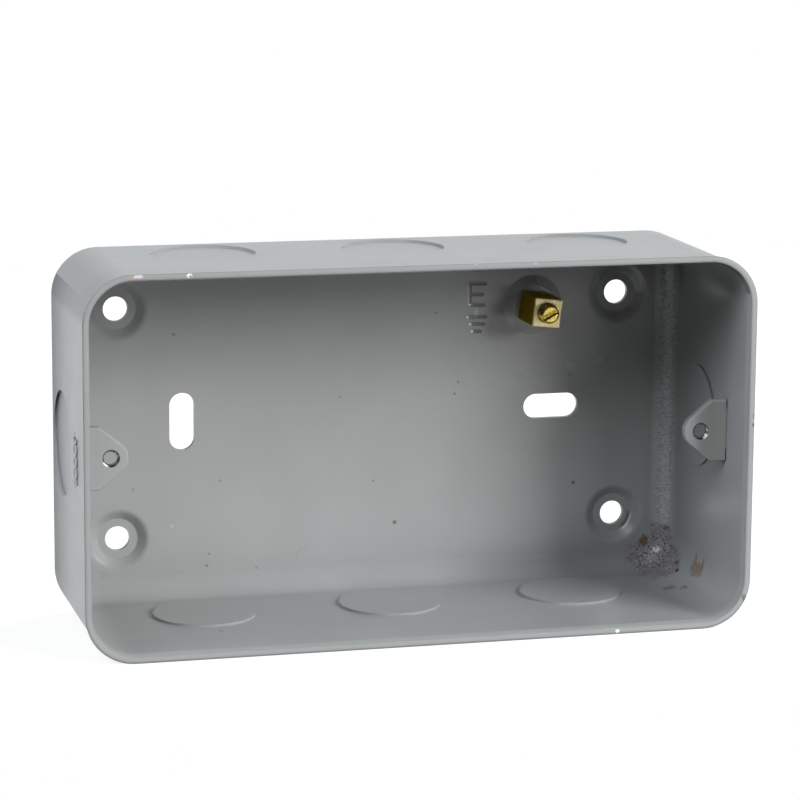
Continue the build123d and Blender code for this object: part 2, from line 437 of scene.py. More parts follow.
# %% Finish helper
class Finish(Stains):
    """A finish built up from colours, bumps and coats."""

    def rounded(self, radius_mm):
        """A normal that sees the edges rounded, as thick paint rounds them."""
        bevel = self.node("ShaderNodeBevel", samples=4)
        bevel.inputs["Radius"].default_value = radius_mm * MM
        return bevel.outputs["Normal"]

    def bump(self, height, depth_mm, under=None):
        """Tilt the surface by a height from 0 to 1 that stands for depth_mm."""
        relief = self.node("ShaderNodeBump")
        relief.inputs["Distance"].default_value = depth_mm * MM
        relief.inputs["Strength"].default_value = 1.0
        self.feed(relief.inputs["Height"], height)
        if under is not None:
            self.feed(relief.inputs["Normal"], under)
        return relief.outputs["Normal"]

    def coat(self, colour, roughness, normal, where=None, specular=0.5):
        """The piece's shader, or one that covers it only where a mask is 1."""
        shader = self.shader
        if where is not None:
            shader = self.node("ShaderNodeBsdfPrincipled")
        self.feed(shader.inputs["Base Color"], colour)
        self.feed(shader.inputs["Roughness"], roughness)
        self.feed(shader.inputs["Normal"], normal)
        self.feed(shader.inputs["Specular IOR Level"], specular)
        if where is not None:
            cover = self.node("ShaderNodeMixShader")
            self.feed(cover.inputs[0], where)
            self.feed(cover.inputs[1], self.result)
            self.feed(cover.inputs[2], shader.outputs[0])
            shader = cover
        self.result = shader.outputs[0]
        self.feed(self.tree.nodes["Material Output"].inputs["Surface"], self.result)


print("coats:", calls(Finish))

# %% [markdown]
# ## Grey enamel
# The box was dipped or sprayed and stoved. The enamel is a middle grey with a soft gloss. One
# flat grey would look like plastic, so it isn't quite even: slow clouds in its tone, pale
# flecks, and a fine orange-peel ripple, which is a bump a few thousandths of a millimetre high.

# %% Enamel helper
ENAMEL = (0.359, 0.368, 0.366)
RIPPLE_MM = 0.006


def enamel_grey(factor):
    """The enamel's grey, lighter or darker."""
    return [c * factor for c in ENAMEL]


def enamel(name):
    """Grey stoved enamel: a finish with its grain and gloss, and its colour, to lay marks on."""
    paint = Finish(name, IOR=1.5)
    tone = paint.noise(14, 3)
    fleck = paint.noise(0.5, 2, 0.7)
    colour = paint.blend(paint.fade(tone, 0.3, 0.7), enamel_grey(0.975), enamel_grey(1.02))
    colour = paint.blend(paint.fade(fleck, 0.62, 0.75, 0.0, 0.25), colour, enamel_grey(1.35))
    paint.grain = paint.noise(1.1, 2, 0.6)
    paint.gloss = paint.math("ADD", paint.times(paint.noise(6, 3), 0.1), 0.25)
    return paint, colour


def peel(paint, under=None):
    """The orange-peel ripple, over a normal that rounds the edges where one is given."""
    return paint.bump(paint.grain, RIPPLE_MM, under)


print("enamel", ENAMEL, "with a ripple of", RIPPLE_MM, "mm")

# %% [markdown]
# ## The staked tongue
# Each lug has a tongue that passes through a slit in the end wall. A punch has spread it
# there into a row of beads. The beads are in the CAD model, and shadow sits in the crease
# behind them. The lamps alone leave that crease too pale, so its shade is painted as a dark
# line that swells round each bead: PINGPONG folds the height into one bead after another, and
# the square root gives each its round side.

# %% Painted shade in the crease of the staked beads
BEAD_PITCH, BEAD_HALF, BEAD_MIDDLE_Z = 2.3, 1.8, 0.1
STAKE_Y = -35.8
# painted shade: the near-black of the shadow in the crease behind the beads
CREASE_SHADE = (0.05, 0.05, 0.055)


def stake_crease_shade(paint):
    """Painted shade in the crease that weaves along the rear of the left end's staked beads."""
    half_pitch = BEAD_PITCH / 2 * MM
    along = paint.math("SUBTRACT", paint.z, BEAD_MIDDLE_Z * MM)
    turns = paint.math("PINGPONG", paint.math("ADD", along, 10 * BEAD_PITCH * MM), half_pitch)
    end = paint.math("DIVIDE", turns, half_pitch)
    bulge = paint.math("SQRT", paint.math("SUBTRACT", 1.0, paint.times(end, end)))
    side = paint.math("SUBTRACT", paint.y, STAKE_Y * MM)
    side = paint.math("DIVIDE", side, BEAD_HALF * MM)
    line = paint.fade(paint.gap(side, paint.times(bulge, 0.85)), 0.7, 0.3)
    in_row = paint.fade_mm(paint.math("ABSOLUTE", along), 5.7, 5.4)
    outside = paint.fade_mm(paint.x, -66.5, -66.8)
    return paint.times(line, in_row, outside)


print("beads every", BEAD_PITCH, "mm")

# %% [markdown]
# ## Paint of the lugs
# The lugs were painted with the box. They could share the shell's material, but one of their
# own keeps their marks off the shell. The right one is painted lighter and warmer toward the
# wall, as painted light that stands in for light bounced onto it, and a thin black gap shows
# where its tongue enters the wall. The Bevel node rounds the shading of the cut edges, as
# paint does, without a change to the mesh.

# %% Painted bounce light, gap and crease shade
GAP_X, GAP_HALF, GAP_MIDDLE_Z = 65.75, 0.17, 0.7
lug, colour = enamel("lug_enamel")
# painted light: the right lug is lighter and warmer toward the wall, for bounced light
bounce_light = lug.times(lug.fade_mm(lug.x, 58, 66, 0.1, 0.75), lug.fade_mm(lug.x, 66.3, 66.2))
colour = lug.blend(bounce_light, colour, (0.45, 0.43, 0.405))
slit = lug.fade_mm(lug.gap(lug.x, GAP_X * MM), GAP_HALF, 0.5 * GAP_HALF)
slit_ends = lug.fade_mm(lug.gap(lug.z, GAP_MIDDLE_Z * MM), 3.6, 4.6, 0.35, 1.0)
colour = lug.stain(colour, slit, slit_ends, (0.02, 0.02, 0.02))
# painted shade in the crease behind the staked beads
colour = lug.stain(colour, stake_crease_shade(lug), 0.75, CREASE_SHADE)
print("gap at x", GAP_X, "mm")

# %% [markdown]
# ## Edge of the tapped holes
# Tapping breaks the paint round a hole and bares the thread. A thin dark ring on that edge is
# painted shade, and a few spots on it are painted glints in white on the bare metal, or
# painted shade in near black. Nicks that catch the light could be cut in the mesh, but from
# here each one is a dot of light or dark, so a painted spot on the ring is enough.

# %% Painted shade ring and glints
LUG_HOLE_X, LUG_HOLE_Z = 60.3, 0.3
EDGE_SHADE_R, EDGE_SPOT_R = 1.56, 1.5
# painted glints (white) and painted shade (near black) on the edge of each tapped hole
GLINT_AND_SHADE_SPOTS = [
    ((-61.35, -35.7, -0.85), (1.0, 1.0, 1.0)),
    ((-59.9, -35.7, -1.2), (0.01, 0.01, 0.01)),
    ((-58.75, -35.7, 0.2), (0.03, 0.03, 0.03)),
    ((61.3, -35.7, -0.75), (1.0, 1.0, 1.0)),
    ((60.2, -35.7, -1.25), (0.01, 0.01, 0.01)),
]
across = lug.math("SUBTRACT", lug.math("ABSOLUTE", lug.x), LUG_HOLE_X * MM)
upward = lug.math("SUBTRACT", lug.z, LUG_HOLE_Z * MM)
squares = lug.math("ADD", lug.times(across, across), lug.times(upward, upward))
from_axis = lug.math("SQRT", squares)
# painted shade: a thin dark ring round the edge of each hole
ring = lug.fade_mm(lug.gap(from_axis, EDGE_SHADE_R * MM), 0.17, 0.06)
colour = lug.stain(colour, ring, 0.7, (0.03, 0.03, 0.03))
on_edge = lug.fade_mm(lug.gap(from_axis, EDGE_SPOT_R * MM), 0.3, 0.16)
for centre, tint in GLINT_AND_SHADE_SPOTS:
    colour = lug.stain(colour, lug.spot(centre, (0.62, 0.4, 0.55), 0.35), on_edge, tint)
lug.coat(colour, lug.gloss, peel(lug, lug.rounded(0.15)))
print("lug enamel with", len(lug.tree.nodes), "nodes")

# %% [markdown]
# ## Grit in the shell's paint
# The photographed box is not new. Its paint caught grit while it was wet, which shows as dark
# specks on the back, and a few places were rubbed pale. Noise could scatter such specks by
# itself, but they would fall in the wrong places. So each is a spot at its own place in
# millimetres: x and z on the back, a radius and a strength.

# %% Grit on the back
BACK_Y = -2.7
GRIT = [
    (5.1, -23.1, 0.42, 0.75),
    (44.1, -16.5, 0.40, 0.75),
    (-34.9, -30.2, 0.32, 0.5),
    (-41.5, 18.4, 0.34, 0.5),
    (17.8, 3.7, 0.30, 0.5),
    (18.6, 6.1, 0.28, 0.45),
    (13.7, 20.9, 0.28, 0.45),
    (42.9, 6.8, 0.30, 0.5),
    (-34.4, -27.7, 0.28, 0.45),
    (-6.8, 4.1, 0.26, 0.45),
    (0.5, -14.0, 0.28, 0.45),
    (-32.1, -12.4, 0.26, 0.4),
    (-24.4, -31.2, 0.28, 0.4),
    (-50.2, -13.4, 0.26, 0.4),
]
shell, colour = enamel("shell_enamel")
for x, z, radius, strength in GRIT:
    speck = shell.spot((x, BACK_Y, z), (radius, radius, radius), 0.5)
    colour = shell.stain(colour, speck, strength, (0.06, 0.06, 0.06))
print("grit spots:", len(GRIT))

# %% Rubbed spots
RUBBED = [
    ((42.95, BACK_Y, 8.8), (0.9, 0.9, 0.6), 0.35),
    ((49.55, BACK_Y, 9.6), (0.8, 0.9, 0.5), 0.3),
    ((-42.1, BACK_Y, -21.5), (0.35, 0.5, 0.35), 0.5),
]
for centre, radii, strength in RUBBED:
    colour = shell.stain(colour, shell.spot(centre, radii, 0.4), strength, (0.56, 0.57, 0.57))
print("rubbed spots:", len(RUBBED))

# %% [markdown]
# ## Painted shade in the corners
# The deep right corners are painted darker than the light alone makes them, as painted shade.
# An Ambient Occlusion node could find corners by itself, but it costs time and darkens all of
# them alike, so the painted shade is faded in by place. It belongs to the inside only. A face
# of the inside looks toward the middle of the box, so the dot product of its normal and the way
# out of the middle is negative there. That tells the inside of the thin sheet from its outside.

# %% Inside mask and painted shade
surface = shell.node("ShaderNodeNewGeometry").outputs["True Normal"]
outward = shell.vector("SUBTRACT", shell.place, metres((0, -20, 0)))
inner = shell.math("LESS_THAN", shell.vector("DOT_PRODUCT", surface, outward), 0.0)
# painted shade: the inside at the right back is darker toward the top and the bottom
shade_above = shell.fade_mm(shell.z, 21, 30, 0.0, 0.75)
shade_below = shell.fade_mm(shell.z, -27, -34, 0.0, 0.25)
corner_shade = shell.math("ADD", shade_above, shade_below)
at_right = shell.fade_mm(shell.x, 12, 32)
at_back = shell.times(inner, shell.fade_mm(shell.y, -10, -6))
colour = shell.stain(colour, corner_shade, shell.times(at_right, at_back), enamel_grey(0.45))
print("grime and marks use", len(shell.tree.nodes), "nodes")

# %% [markdown]
# ## The lower right cup and the plain coat
# The corner holes lie in pressed cups. On the lower right one the tool has left a sharp step,
# seen as a dark arc of shadow with a bright arc of highlight beside it. The step could be cut
# in the model, but it is very fine and only partly there, so its shadow and highlight are
# painted as two tinted arcs. After it comes the coat that covers the whole shell. The other
# coats start again from its colour.

# %% Painted shade and highlight of the cup step, and plain coat
CUP = (53.2, 0, -23.8)
# painted shade (the dark arc) and painted highlight (the bright arc) of the cup's step
CUP_SHADE_AND_HIGHLIGHT = [
    (3.7, 0.55, (56.4, -2.0, -25.4), (0.10, 0.10, 0.105), 0.7),
    (4.3, 0.22, (56.8, -2.0, -26.2), (0.95, 0.97, 1.0), 0.6),
]
from_cup = shell.reach(CUP, (1, 0, 1))
for radius, half, centre, tint, strength in CUP_SHADE_AND_HIGHLIGHT:
    arc = shell.fade_mm(shell.gap(from_cup, radius * MM), half, 0.1)
    part = shell.spot(centre, (1.7, 3.0, 2.0), 0.3)
    colour = shell.stain(colour, shell.times(arc, part), strength, tint)
plain_colour = colour
plain_ripple = peel(shell)
shell.coat(plain_colour, shell.gloss, plain_ripple)
print("plain coat on", len(shell.tree.nodes), "nodes")

# %% [markdown]
# ## Sheared edges
# A knockout is half sheared from the wall, so its disc stands a step off and its edge is a
# thin ring of torn metal under the paint. Its faces could be picked by hand on the mesh, but
# they would have to be picked again after each change of the model. So the mask takes the
# ring by its radius, and by faces that don't look along X, and it stays on the step.

# %% Sheared edges of the end knockouts
KNOCKOUT, KNOCKOUT_R = (0, -18.7, 0.3), 10.45
off_edge = shell.gap(shell.reach(KNOCKOUT, (0, 1, 1)), KNOCKOUT_R * MM)
facing_x = shell.math("ABSOLUTE", shell.parts(surface)[0])
sheared = shell.times(shell.fade_mm(off_edge, 0.3, 0.1), shell.fade(facing_x, 0.9, 0.6))
print("sheared ring of radius", KNOCKOUT_R, "mm")

# %% [markdown]
# ## Left end
# The left end is seen nearly edge on, where any gloss turns into a mirror. The real wall is
# duller toward the back, so this coat loses its gloss that way, and its colour is painted
# darker that way, as painted shade. The edge of its knockout, which thick paint has filled, is
# painted pale and paler in its upper half, as painted light where its step lies in shadow.
# Its normal is pulled hard toward the way that the wall faces, so it is lit as part of the wall.

# %% Coat of the left end
LEFT_END_X = -65.95
PULL_TO_WALL = (-4, 0, 0)
# painted shade: the end's colour darkens toward the back
shaded_back = shell.fade_mm(shell.y, -34, -6)
colour = shell.blend(shaded_back, plain_colour, enamel_grey(0.6))
# painted light: the knockout's edge is pale, palest in its upper half
upper_half = shell.fade_mm(shell.z, -7, 3)
painted_light_edge = shell.blend(upper_half, enamel_grey(1.8), enamel_grey(2.6))
colour = shell.blend(sheared, colour, painted_light_edge)
# painted shade in the crease behind the staked beads
colour = shell.stain(colour, stake_crease_shade(shell), 0.75, CREASE_SHADE)
pulled = shell.vector("ADD", shell.rounded(0.45), shell.vector("MULTIPLY", sheared, PULL_TO_WALL))
shell.coat(
    colour,
    shell.gloss,
    peel(shell, shell.vector("NORMALIZE", pulled)),
    where=shell.math("LESS_THAN", shell.x, LEFT_END_X * MM),
    specular=shell.fade_mm(shell.y, -40, -5, 0.3, 0.02),
)
print("left end's coat covers x under", LEFT_END_X, "mm")

# %% [markdown]
# ## Wrinkled paint
# Where the right end bends into the back, the paint lay too thick and wrinkled as it dried.
# The band has a pale bluish core, which is a painted sheen, and a wider halo of short level
# creases. They could be raised in the mesh, but that needs very many faces for a tenth of a
# millimetre. So one stretched noise gives their bump, and the same noise paints their crests
# lighter and their furrows darker, as painted highlight and shade where the surface tilts.
# Under them, the edge of this end's knockout is painted dark, as painted shade in its step.

# %% Band along the right bend
BEND = (64.3, -3.8, 0)
WRINKLE_TOP, WRINKLE_FOOT = 28.4, -26.0


def along_bend(core_mm, halo_mm):
    """A strip along the bend, 1 in its core and 0 beyond its halo."""
    wander = shell.times(shell.math("SUBTRACT", shell.noise(2.0, 3), 0.5), 1.4 * MM)
    reach = shell.math("ADD", shell.reach(BEND, (1, 1, 0)), wander)
    body = shell.fade_mm(reach, halo_mm, core_mm)
    top = shell.fade_mm(shell.z, WRINKLE_TOP + 2, WRINKLE_TOP - 1)
    foot = shell.fade_mm(shell.z, WRINKLE_FOOT - 4, WRINKLE_FOOT + 2)
    return shell.times(body, top, foot)


sheen_core, halo = along_bend(0.5, 1.3), along_bend(0.8, 3.4)
print("band round x", BEND[0], "y", BEND[1])

# %% Wrinkles
# painted shade: the sheared edge of this end's knockout is near black
step_shade = shell.fade_mm(shell.x, 65.0, 65.1, 0.0, 0.6)
colour = shell.stain(plain_colour, sheared, step_shade, (0.03, 0.03, 0.03))
wrinkle = shell.noise(0.5, 2, 0.65, stretch=(0.6, 0.6, 2.0))
# painted highlight on the crests, painted shade in the furrows
lit_crests = shell.fade(wrinkle, 0.48, 0.6, 0.0, 0.75)
shaded_furrows = shell.fade(wrinkle, 0.48, 0.36, 0.0, 0.45)
# painted sheen: the pale bluish core of the band
colour = shell.stain(colour, sheen_core, 0.8, (0.50, 0.53, 0.57))
colour = shell.stain(colour, halo, lit_crests, enamel_grey(1.6))
colour = shell.stain(colour, halo, shaded_furrows, enamel_grey(0.5))
band = shell.either([sheen_core, shell.times(halo, 0.5)])
ripple = shell.bump(shell.times(wrinkle, band), 0.10, plain_ripple)
print("wrinkles from z", WRINKLE_FOOT, "to", WRINKLE_TOP)

# %% [markdown]
# ## Rust
# In the lower right corner water has stood, and rust has lifted the paint into a fan of
# pits and pale blisters. An even brown patch would look like a stain on top of sound paint.
# So two ragged spots make the fan, and one fine noise cuts dark pits out of it and lifts pale
# crumbs. A bright patch in the middle is a painted glint on the blistered rust.

# %% Fan of pits
fan = shell.either(
    [
        shell.spot((61.4, -6.5, -33.1), (4.6, 8.0, 3.6), 0.3, 0.5, 2.5),
        shell.spot((63.2, -4.4, -30.0), (2.2, 3.4, 3.6), 0.35, 0.5, 2.0),
    ]
)
pits = shell.noise(0.58, 3, 0.75)
blisters = shell.noise(1.3, 3, 0.6)
holes = shell.fade(pits, 0.48, 0.38, 0.0, 0.9)
crumbs = shell.fade(pits, 0.55, 0.64, 0.0, 0.75)
colour = shell.stain(colour, fan, 0.7, (0.30, 0.275, 0.295))
colour = shell.stain(colour, fan, holes, (0.05, 0.035, 0.035))
colour = shell.stain(colour, fan, crumbs, (0.60, 0.58, 0.61))
fan_edge = shell.times(fan, shell.math("SUBTRACT", 1.0, fan))
stained_edge = shell.fade(blisters, 0.45, 0.6, 0.0, 2.0)
colour = shell.stain(colour, fan_edge, stained_edge, (0.10, 0.065, 0.06))
# painted glint: a bright patch on the blistered rust, broken by the pits
rust_glint = shell.spot((62.6, -3.5, -31.8), (0.8, 1.1, 0.75), 0.4, 0.9, 0.8)
colour = shell.stain(colour, rust_glint, shell.fade(pits, 0.45, 0.55), (0.9, 0.9, 0.92))
print("nodes with the fan:", len(shell.tree.nodes))

# %% [markdown]
# ## Rust spots
# Beside the fan stand single brown spots and smears, each with its centre, radii, colour,
# strength and raggedness. The fine pits eat into all of them but the black dot, which is a
# hole rusted deep.

# %% Spots and smears
RUST = [
    ((60.1, -2.7, -29.9), (0.95, 1.3, 1.1), (0.16, 0.075, 0.035), 0.9, 0.9),
    ((64.8, -4.4, -27.1), (0.45, 0.7, 0.5), (0.19, 0.065, 0.03), 0.85, 0.9),
    ((64.3, -12.0, -32.7), (0.5, 0.9, 0.4), (0.11, 0.03, 0.02), 0.85, 1.2),
    ((64.9, -22.6, -31.9), (1.4, 3.2, 1.5), (0.24, 0.17, 0.115), 0.85, 0.9),
    ((65.2, -20.3, -30.4), (1.0, 0.8, 1.7), (0.22, 0.14, 0.10), 0.75, 0.8),
    ((65.4, -24.6, -30.4), (1.0, 0.8, 1.6), (0.22, 0.14, 0.10), 0.75, 0.8),
    ((59.6, -20.7, -35.9), (1.8, 1.3, 0.4), (0.16, 0.085, 0.075), 0.75, 1.3),
    ((61.6, -24.2, -35.1), (1.5, 1.1, 0.35), (0.15, 0.075, 0.070), 0.75, 1.3),
]
eaten = shell.fade(pits, 0.38, 0.5, 0.35, 1.0)
for centre, radii, tint, strength, ragged in RUST:
    smear = shell.times(shell.spot(centre, radii, 0.3, ragged, 0.7), eaten)
    colour = shell.stain(colour, smear, strength, tint)
dot = shell.spot((63.4, -14.8, -33.8), (0.45, 0.8, 0.4), 0.3, 0.3, 0.7)
colour = shell.stain(colour, dot, 1.0, (0.004, 0.003, 0.003))
print("rust spots:", len(RUST) + 1)

# %% Coat of the right end
RIGHT_PART_X = 53
relief = shell.times(fan, shell.math("ADD", pits, blisters))
dull = shell.either([fan, shell.times(halo, 0.4)])
at_right_part = shell.math("GREATER_THAN", shell.x, RIGHT_PART_X * MM)
shell.coat(
    colour,
    shell.math("ADD", shell.gloss, shell.times(dull, 0.1)),
    shell.bump(relief, 0.13, ripple),
    where=shell.times(shell.either([inner, sheared]), at_right_part),
)
print("right end's coat covers x over", RIGHT_PART_X, "mm, inside")

# %% [markdown]
# ## The rim
# The trimmed rim takes the knocks: its paint is chipped to bare bright steel or to a dark
# scar. Chips could be cut in the mesh, but they are shallow and small, so ragged spots do.
# Paint lies thick on the rim's edges, so the Bevel node rounds them broadly, and the inner
# lip at the top right is painted darker, as painted shade.

# %% Chips and coat of the rim
RIM_BACK_Y = -45.3
CHIPS = [
    ((-57.9, -47.0, 37.3), (0.7, 0.5, 0.5), (0.50, 0.36, 0.24), 0.6, 0.6),
    ((-56.7, -47.0, 37.4), (0.9, 0.5, 0.4), (0.75, 0.74, 0.72), 0.8, 0.6),
    ((-46.9, -47.0, 37.3), (0.55, 0.5, 0.4), (0.9, 0.9, 0.9), 0.9, 0.3),
    ((-46.7, -47.0, 37.1), (0.18, 0.4, 0.18), (0.02, 0.02, 0.02), 0.9, 0.2),
    ((21.4, -47.0, 37.4), (0.4, 0.4, 0.2), (0.7, 0.7, 0.7), 0.4, 0.5),
    ((9.34, -46.8, 37.7), (0.4, 0.4, 0.2), (0.7, 0.7, 0.7), 0.4, 0.5),
    ((39.6, -47.0, -37.2), (0.45, 0.6, 0.4), (0.95, 0.95, 0.95), 0.95, 0.3),
    ((67.3, -47.0, 3.5), (0.3, 0.5, 0.35), (0.05, 0.05, 0.05), 0.8, 0.4),
    ((67.3, -47.0, 5.3), (0.3, 0.5, 0.5), (0.16, 0.16, 0.17), 0.6, 0.6),
    ((66.2, -47.0, -31.9), (0.45, 0.5, 0.7), (0.10, 0.10, 0.11), 0.7, 0.4),
]
# painted shade on the inner lip at the top right
lip_shade = shell.fade_mm(shell.z, 37.05, 36.5, 0.0, 0.75)
upper = shell.math("GREATER_THAN", shell.z, 30 * MM)
lip_part = shell.times(shell.fade_mm(shell.x, -10, 25), inner, upper)
colour = shell.stain(plain_colour, lip_shade, lip_part, enamel_grey(0.3))
for centre, radii, tint, strength, ragged in CHIPS:
    colour = shell.stain(colour, shell.spot(centre, radii, 0.35, ragged, 0.6), strength, tint)
shell.coat(
    colour,
    shell.gloss,
    peel(shell, shell.rounded(0.8)),
    where=shell.math("LESS_THAN", shell.y, RIM_BACK_Y * MM),
)
print("chips on the rim:", len(CHIPS))

# %% [markdown]
# ## The pad and the earth sign
# The raised pad under the terminal has two short scratches. Beside it the general sign for
# earth and its letter are pressed in the back, shallow and soft under the paint. They are
# straight strokes, so each is a distance to a line, and the nearest stroke gives the depth
# of a bump. Modelling them would cut the big flat back into many small faces, for grooves of
# a few tenths of a millimetre.

# %% Strokes of the sign
PAD_Y = -3.7
SCRATCHES = [((36.0, PAD_Y, 25.7), (36.9, PAD_Y, 25.2)), ((37.4, PAD_Y, 25.1), (38.1, PAD_Y, 24.2))]
LETTER = [
    ((20.9, 26.8), (20.9, 22.3)),
    ((20.9, 26.8), (24.2, 26.7)),
    ((20.9, 24.55), (23.6, 24.45)),
    ((20.9, 22.3), (23.9, 22.2)),
]
EARTH_BARS = [
    ((20.7, 19.75), (24.4, 19.7)),
    ((21.3, 18.3), (23.9, 18.2)),
    ((21.8, 16.7), (23.1, 16.65)),
]
EARTH_STEM = ((22.4, 21.2), (22.2, 20.0))
STROKE_HALF, SIGN_DEEP = 0.5, 0.42


def on_back(ends):
    """Distance to a stroke that is given by x and z of its ends."""
    return shell.stroke(*[(x, BACK_Y, z) for x, z in ends])


scratched = shell.either(
    [shell.fade_mm(shell.stroke(*ends), 0.22, 0.05) for ends in SCRATCHES]
)
colour = shell.stain(plain_colour, scratched, 0.7, (0.60, 0.62, 0.66))
reaches = [on_back(ends) for ends in LETTER + EARTH_BARS]
pressed = shell.either([shell.fade_mm(reach, STROKE_HALF, 0.0) for reach in reaches])
ripple = shell.bump(shell.math("SUBTRACT", 1.0, pressed), SIGN_DEEP, plain_ripple)
print("strokes:", len(reaches) + 1)

# %% [markdown]
# ## Light and dark in the sign
# Bump alone leaves the strokes too even. The light comes from the right front, so the floor
# of each level bar is tinted darker toward its right, and its left end, the left of the
# letter and the stem catch the light.

# %% Tints and coat of the sign
BRIGHT_ENDS = [(20.9, 22.3), (20.5, 19.75), (21.05, 18.25), (21.45, 16.7)]
SIGN_BOX = [(shell.x, 29, 10.5), (shell.z, 22, 7.5), (shell.y, -3.3, 1.3)]
floors = shell.either([shell.fade_mm(reach, 0.3, 0.0) for reach in reaches[1:]])
to_right = shell.fade_mm(shell.x, 20.9, 22.6, 0.05, 0.45)
colour = shell.stain(colour, floors, to_right, (0.11, 0.115, 0.115))
ends = [shell.spot((x, BACK_Y, z), (0.27, 0.3, 0.27), 0.45) for x, z in BRIGHT_ENDS]
stem = shell.times(shell.fade_mm(on_back(EARTH_STEM), 0.6, 0.1), 0.2)
left_side = shell.fade_mm(on_back(((20.55, 26.2), (20.6, 22.7))), 0.26, 0.04)
lit = shell.either([shell.either(ends), stem, shell.times(left_side, 0.35)])
colour = shell.blend(lit, colour, (1.0, 1.0, 1.0))
shell.coat(
    colour,
    shell.math("SUBTRACT", shell.gloss, shell.times(pressed, 0.1)),
    ripple,
    where=shell.times(*[shell.near(*side) for side in SIGN_BOX]),
)
print("shell enamel with", len(shell.tree.nodes), "nodes")

# %% [markdown]
# ## Dressing
# A finish does nothing until a piece carries it. It could be assigned face by face, but each
# of these pieces has one finish all over. The CAD pieces come with a plain colour, so the
# list of materials is emptied first.

# %% Dress the steel pieces
def dress(piece, finish):
    """Give a piece one finish, in place of what it came with."""
    piece.data.materials.clear()
    piece.data.materials.append(finish.material)


dress(nodes["box_shell"], shell)
dress(nodes["fixing_lug_left"], lug)
dress(nodes["fixing_lug_right"], lug)
print("dressed the shell and two lugs")

# %% [markdown]
# ## Brass
# The terminal is a sawn length of square brass bar with a turned screw. Brass has its
# colour in its reflection, so it is a metal with a yellow base colour: a yellow paint would
# reflect white. The sides are painted dark brown, as a painted reflection of the dark box
# around them, and the sawn end is painted pale and bright, as a painted reflection of light,
# with the marks of the blade, which are a bump of long stretched noise.

# %% Brass of the bar
FACE_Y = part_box("earth_terminal_block")[0].y
FACE_DEEP, SIDE_FROM = 0.15 * MM, 0.45 * MM
bar_brass = Finish("sawn_brass", Metallic=1.0, Specular_Tint=(0.88, 0.72, 0.34, 1))
at_face = bar_brass.fade(bar_brass.y, FACE_Y + SIDE_FROM, FACE_Y + FACE_DEEP)
brass_mottle = bar_brass.noise(1.2, 4, 0.6)
# painted reflection: dark brown sides and a pale bright sawn end of one brass
shaded_side_colour = bar_brass.blend(brass_mottle, (0.26, 0.165, 0.012), (0.55, 0.39, 0.07))
lit_face_colour = bar_brass.blend(brass_mottle, (0.80, 0.63, 0.28), (1.0, 0.90, 0.58))
saw = bar_brass.noise(0.5, 3, 0.6, stretch=(1, 0.2, 0.15))
metal = bar_brass.shader.inputs
bar_brass.feed(metal["Base Color"], bar_brass.blend(at_face, shaded_side_colour, lit_face_colour))
bar_brass.feed(metal["Roughness"], bar_brass.fade(brass_mottle, 0.3, 0.7, 0.38, 0.5))
bar_brass.feed(metal["Normal"], bar_brass.bump(bar_brass.times(saw, at_face), 0.2))
dress(nodes["earth_terminal_block"], bar_brass)
print("bar face at y", round(FACE_Y, 5))

# %% [markdown]
# ## Turned brass
# The screw is brighter than the bar, because it was turned and never sawn. Its colour is
# painted darker just behind the end face, as painted shade in the slot and the thread.

# %% Brass of the screw
screw_low, screw_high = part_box("earth_terminal_screw")
screw_brass = Finish(
    "turned_brass", Metallic=1.0, Roughness=0.22, Specular_Tint=(0.9, 0.7, 0.25, 1)
)
turned = screw_brass.noise(0.5, 3)
# painted shade in the slot and the thread behind the end face
thread_shade = screw_brass.fade(screw_brass.y, screw_low.y + FACE_DEEP, screw_low.y + SIDE_FROM)
bright_brass = screw_brass.blend(turned, (0.78, 0.55, 0.08), (0.98, 0.78, 0.24))
patchy = screw_brass.fade(turned, 0.35, 0.65, 1.0, 0.35)
screw_brass.feed(
    screw_brass.shader.inputs["Base Color"],
    screw_brass.stain(bright_brass, thread_shade, patchy, (0.20, 0.12, 0.012)),
)
dress(nodes["earth_terminal_screw"], screw_brass)
print("screw end at y", round(screw_low.y, 5))

# %% [markdown]
# ## Threads of the lugs
# A tap cuts the thread of each lug through the paint, so it shows bare steel. It could be a
# texture, but a real thread glints and hides light in its grooves. It is made as a ridge
# of triangular section that winds down the hole, set slightly into the hole's wall.

# %% Thread helper
def new_piece(name, shape):
    """Turn a bmesh into an object in the scene."""
    bmesh.ops.recalc_face_normals(shape, faces=shape.faces)
    mesh = bpy.data.meshes.new(name)
    shape.to_mesh(mesh)
    shape.free()
    piece = bpy.data.objects.new(name, mesh)
    bpy.context.scene.collection.objects.link(piece)
    return piece


LUG_HOLE_R, M3_5_PITCH = 1.475, 0.6
RIDGE_DEEP, RIDGE_INTO_WALL, RIDGE_HALF = 0.15, 0.03, 0.22
STEPS_A_TURN = 40


def thread_ridge(name, centre_x, centre_z, y_front, y_back):
    """A ridge of triangular section that winds round the inside of a hole along Y."""
    shape = bmesh.new()
    run_out = 0.4 * M3_5_PITCH
    length = y_back - y_front - 2 * run_out
    count = round(length / M3_5_PITCH * STEPS_A_TURN)
    foot, crest = LUG_HOLE_R + RIDGE_INTO_WALL, LUG_HOLE_R - RIDGE_DEEP
    rings = []
    for i in range(count + 1):
        angle = 2 * math.pi * i / STEPS_A_TURN
        y = y_front + run_out + length * i / count
        ring = []
        for radius, lean in ((foot, -RIDGE_HALF), (crest, 0.0), (foot, RIDGE_HALF)):
            x, z = centre_x + radius * math.cos(angle), centre_z + radius * math.sin(angle)
            ring.append(shape.verts.new((x * MM, (y + lean) * MM, z * MM)))
        rings.append(ring)
    for near, far in zip(rings, rings[1:]):
        for a in range(3):
            b = (a + 1) % 3
            shape.faces.new((near[a], near[b], far[b], far[a]))
    shape.faces.new(rings[0])
    shape.faces.new(rings[-1])
    return new_piece(name, shape)


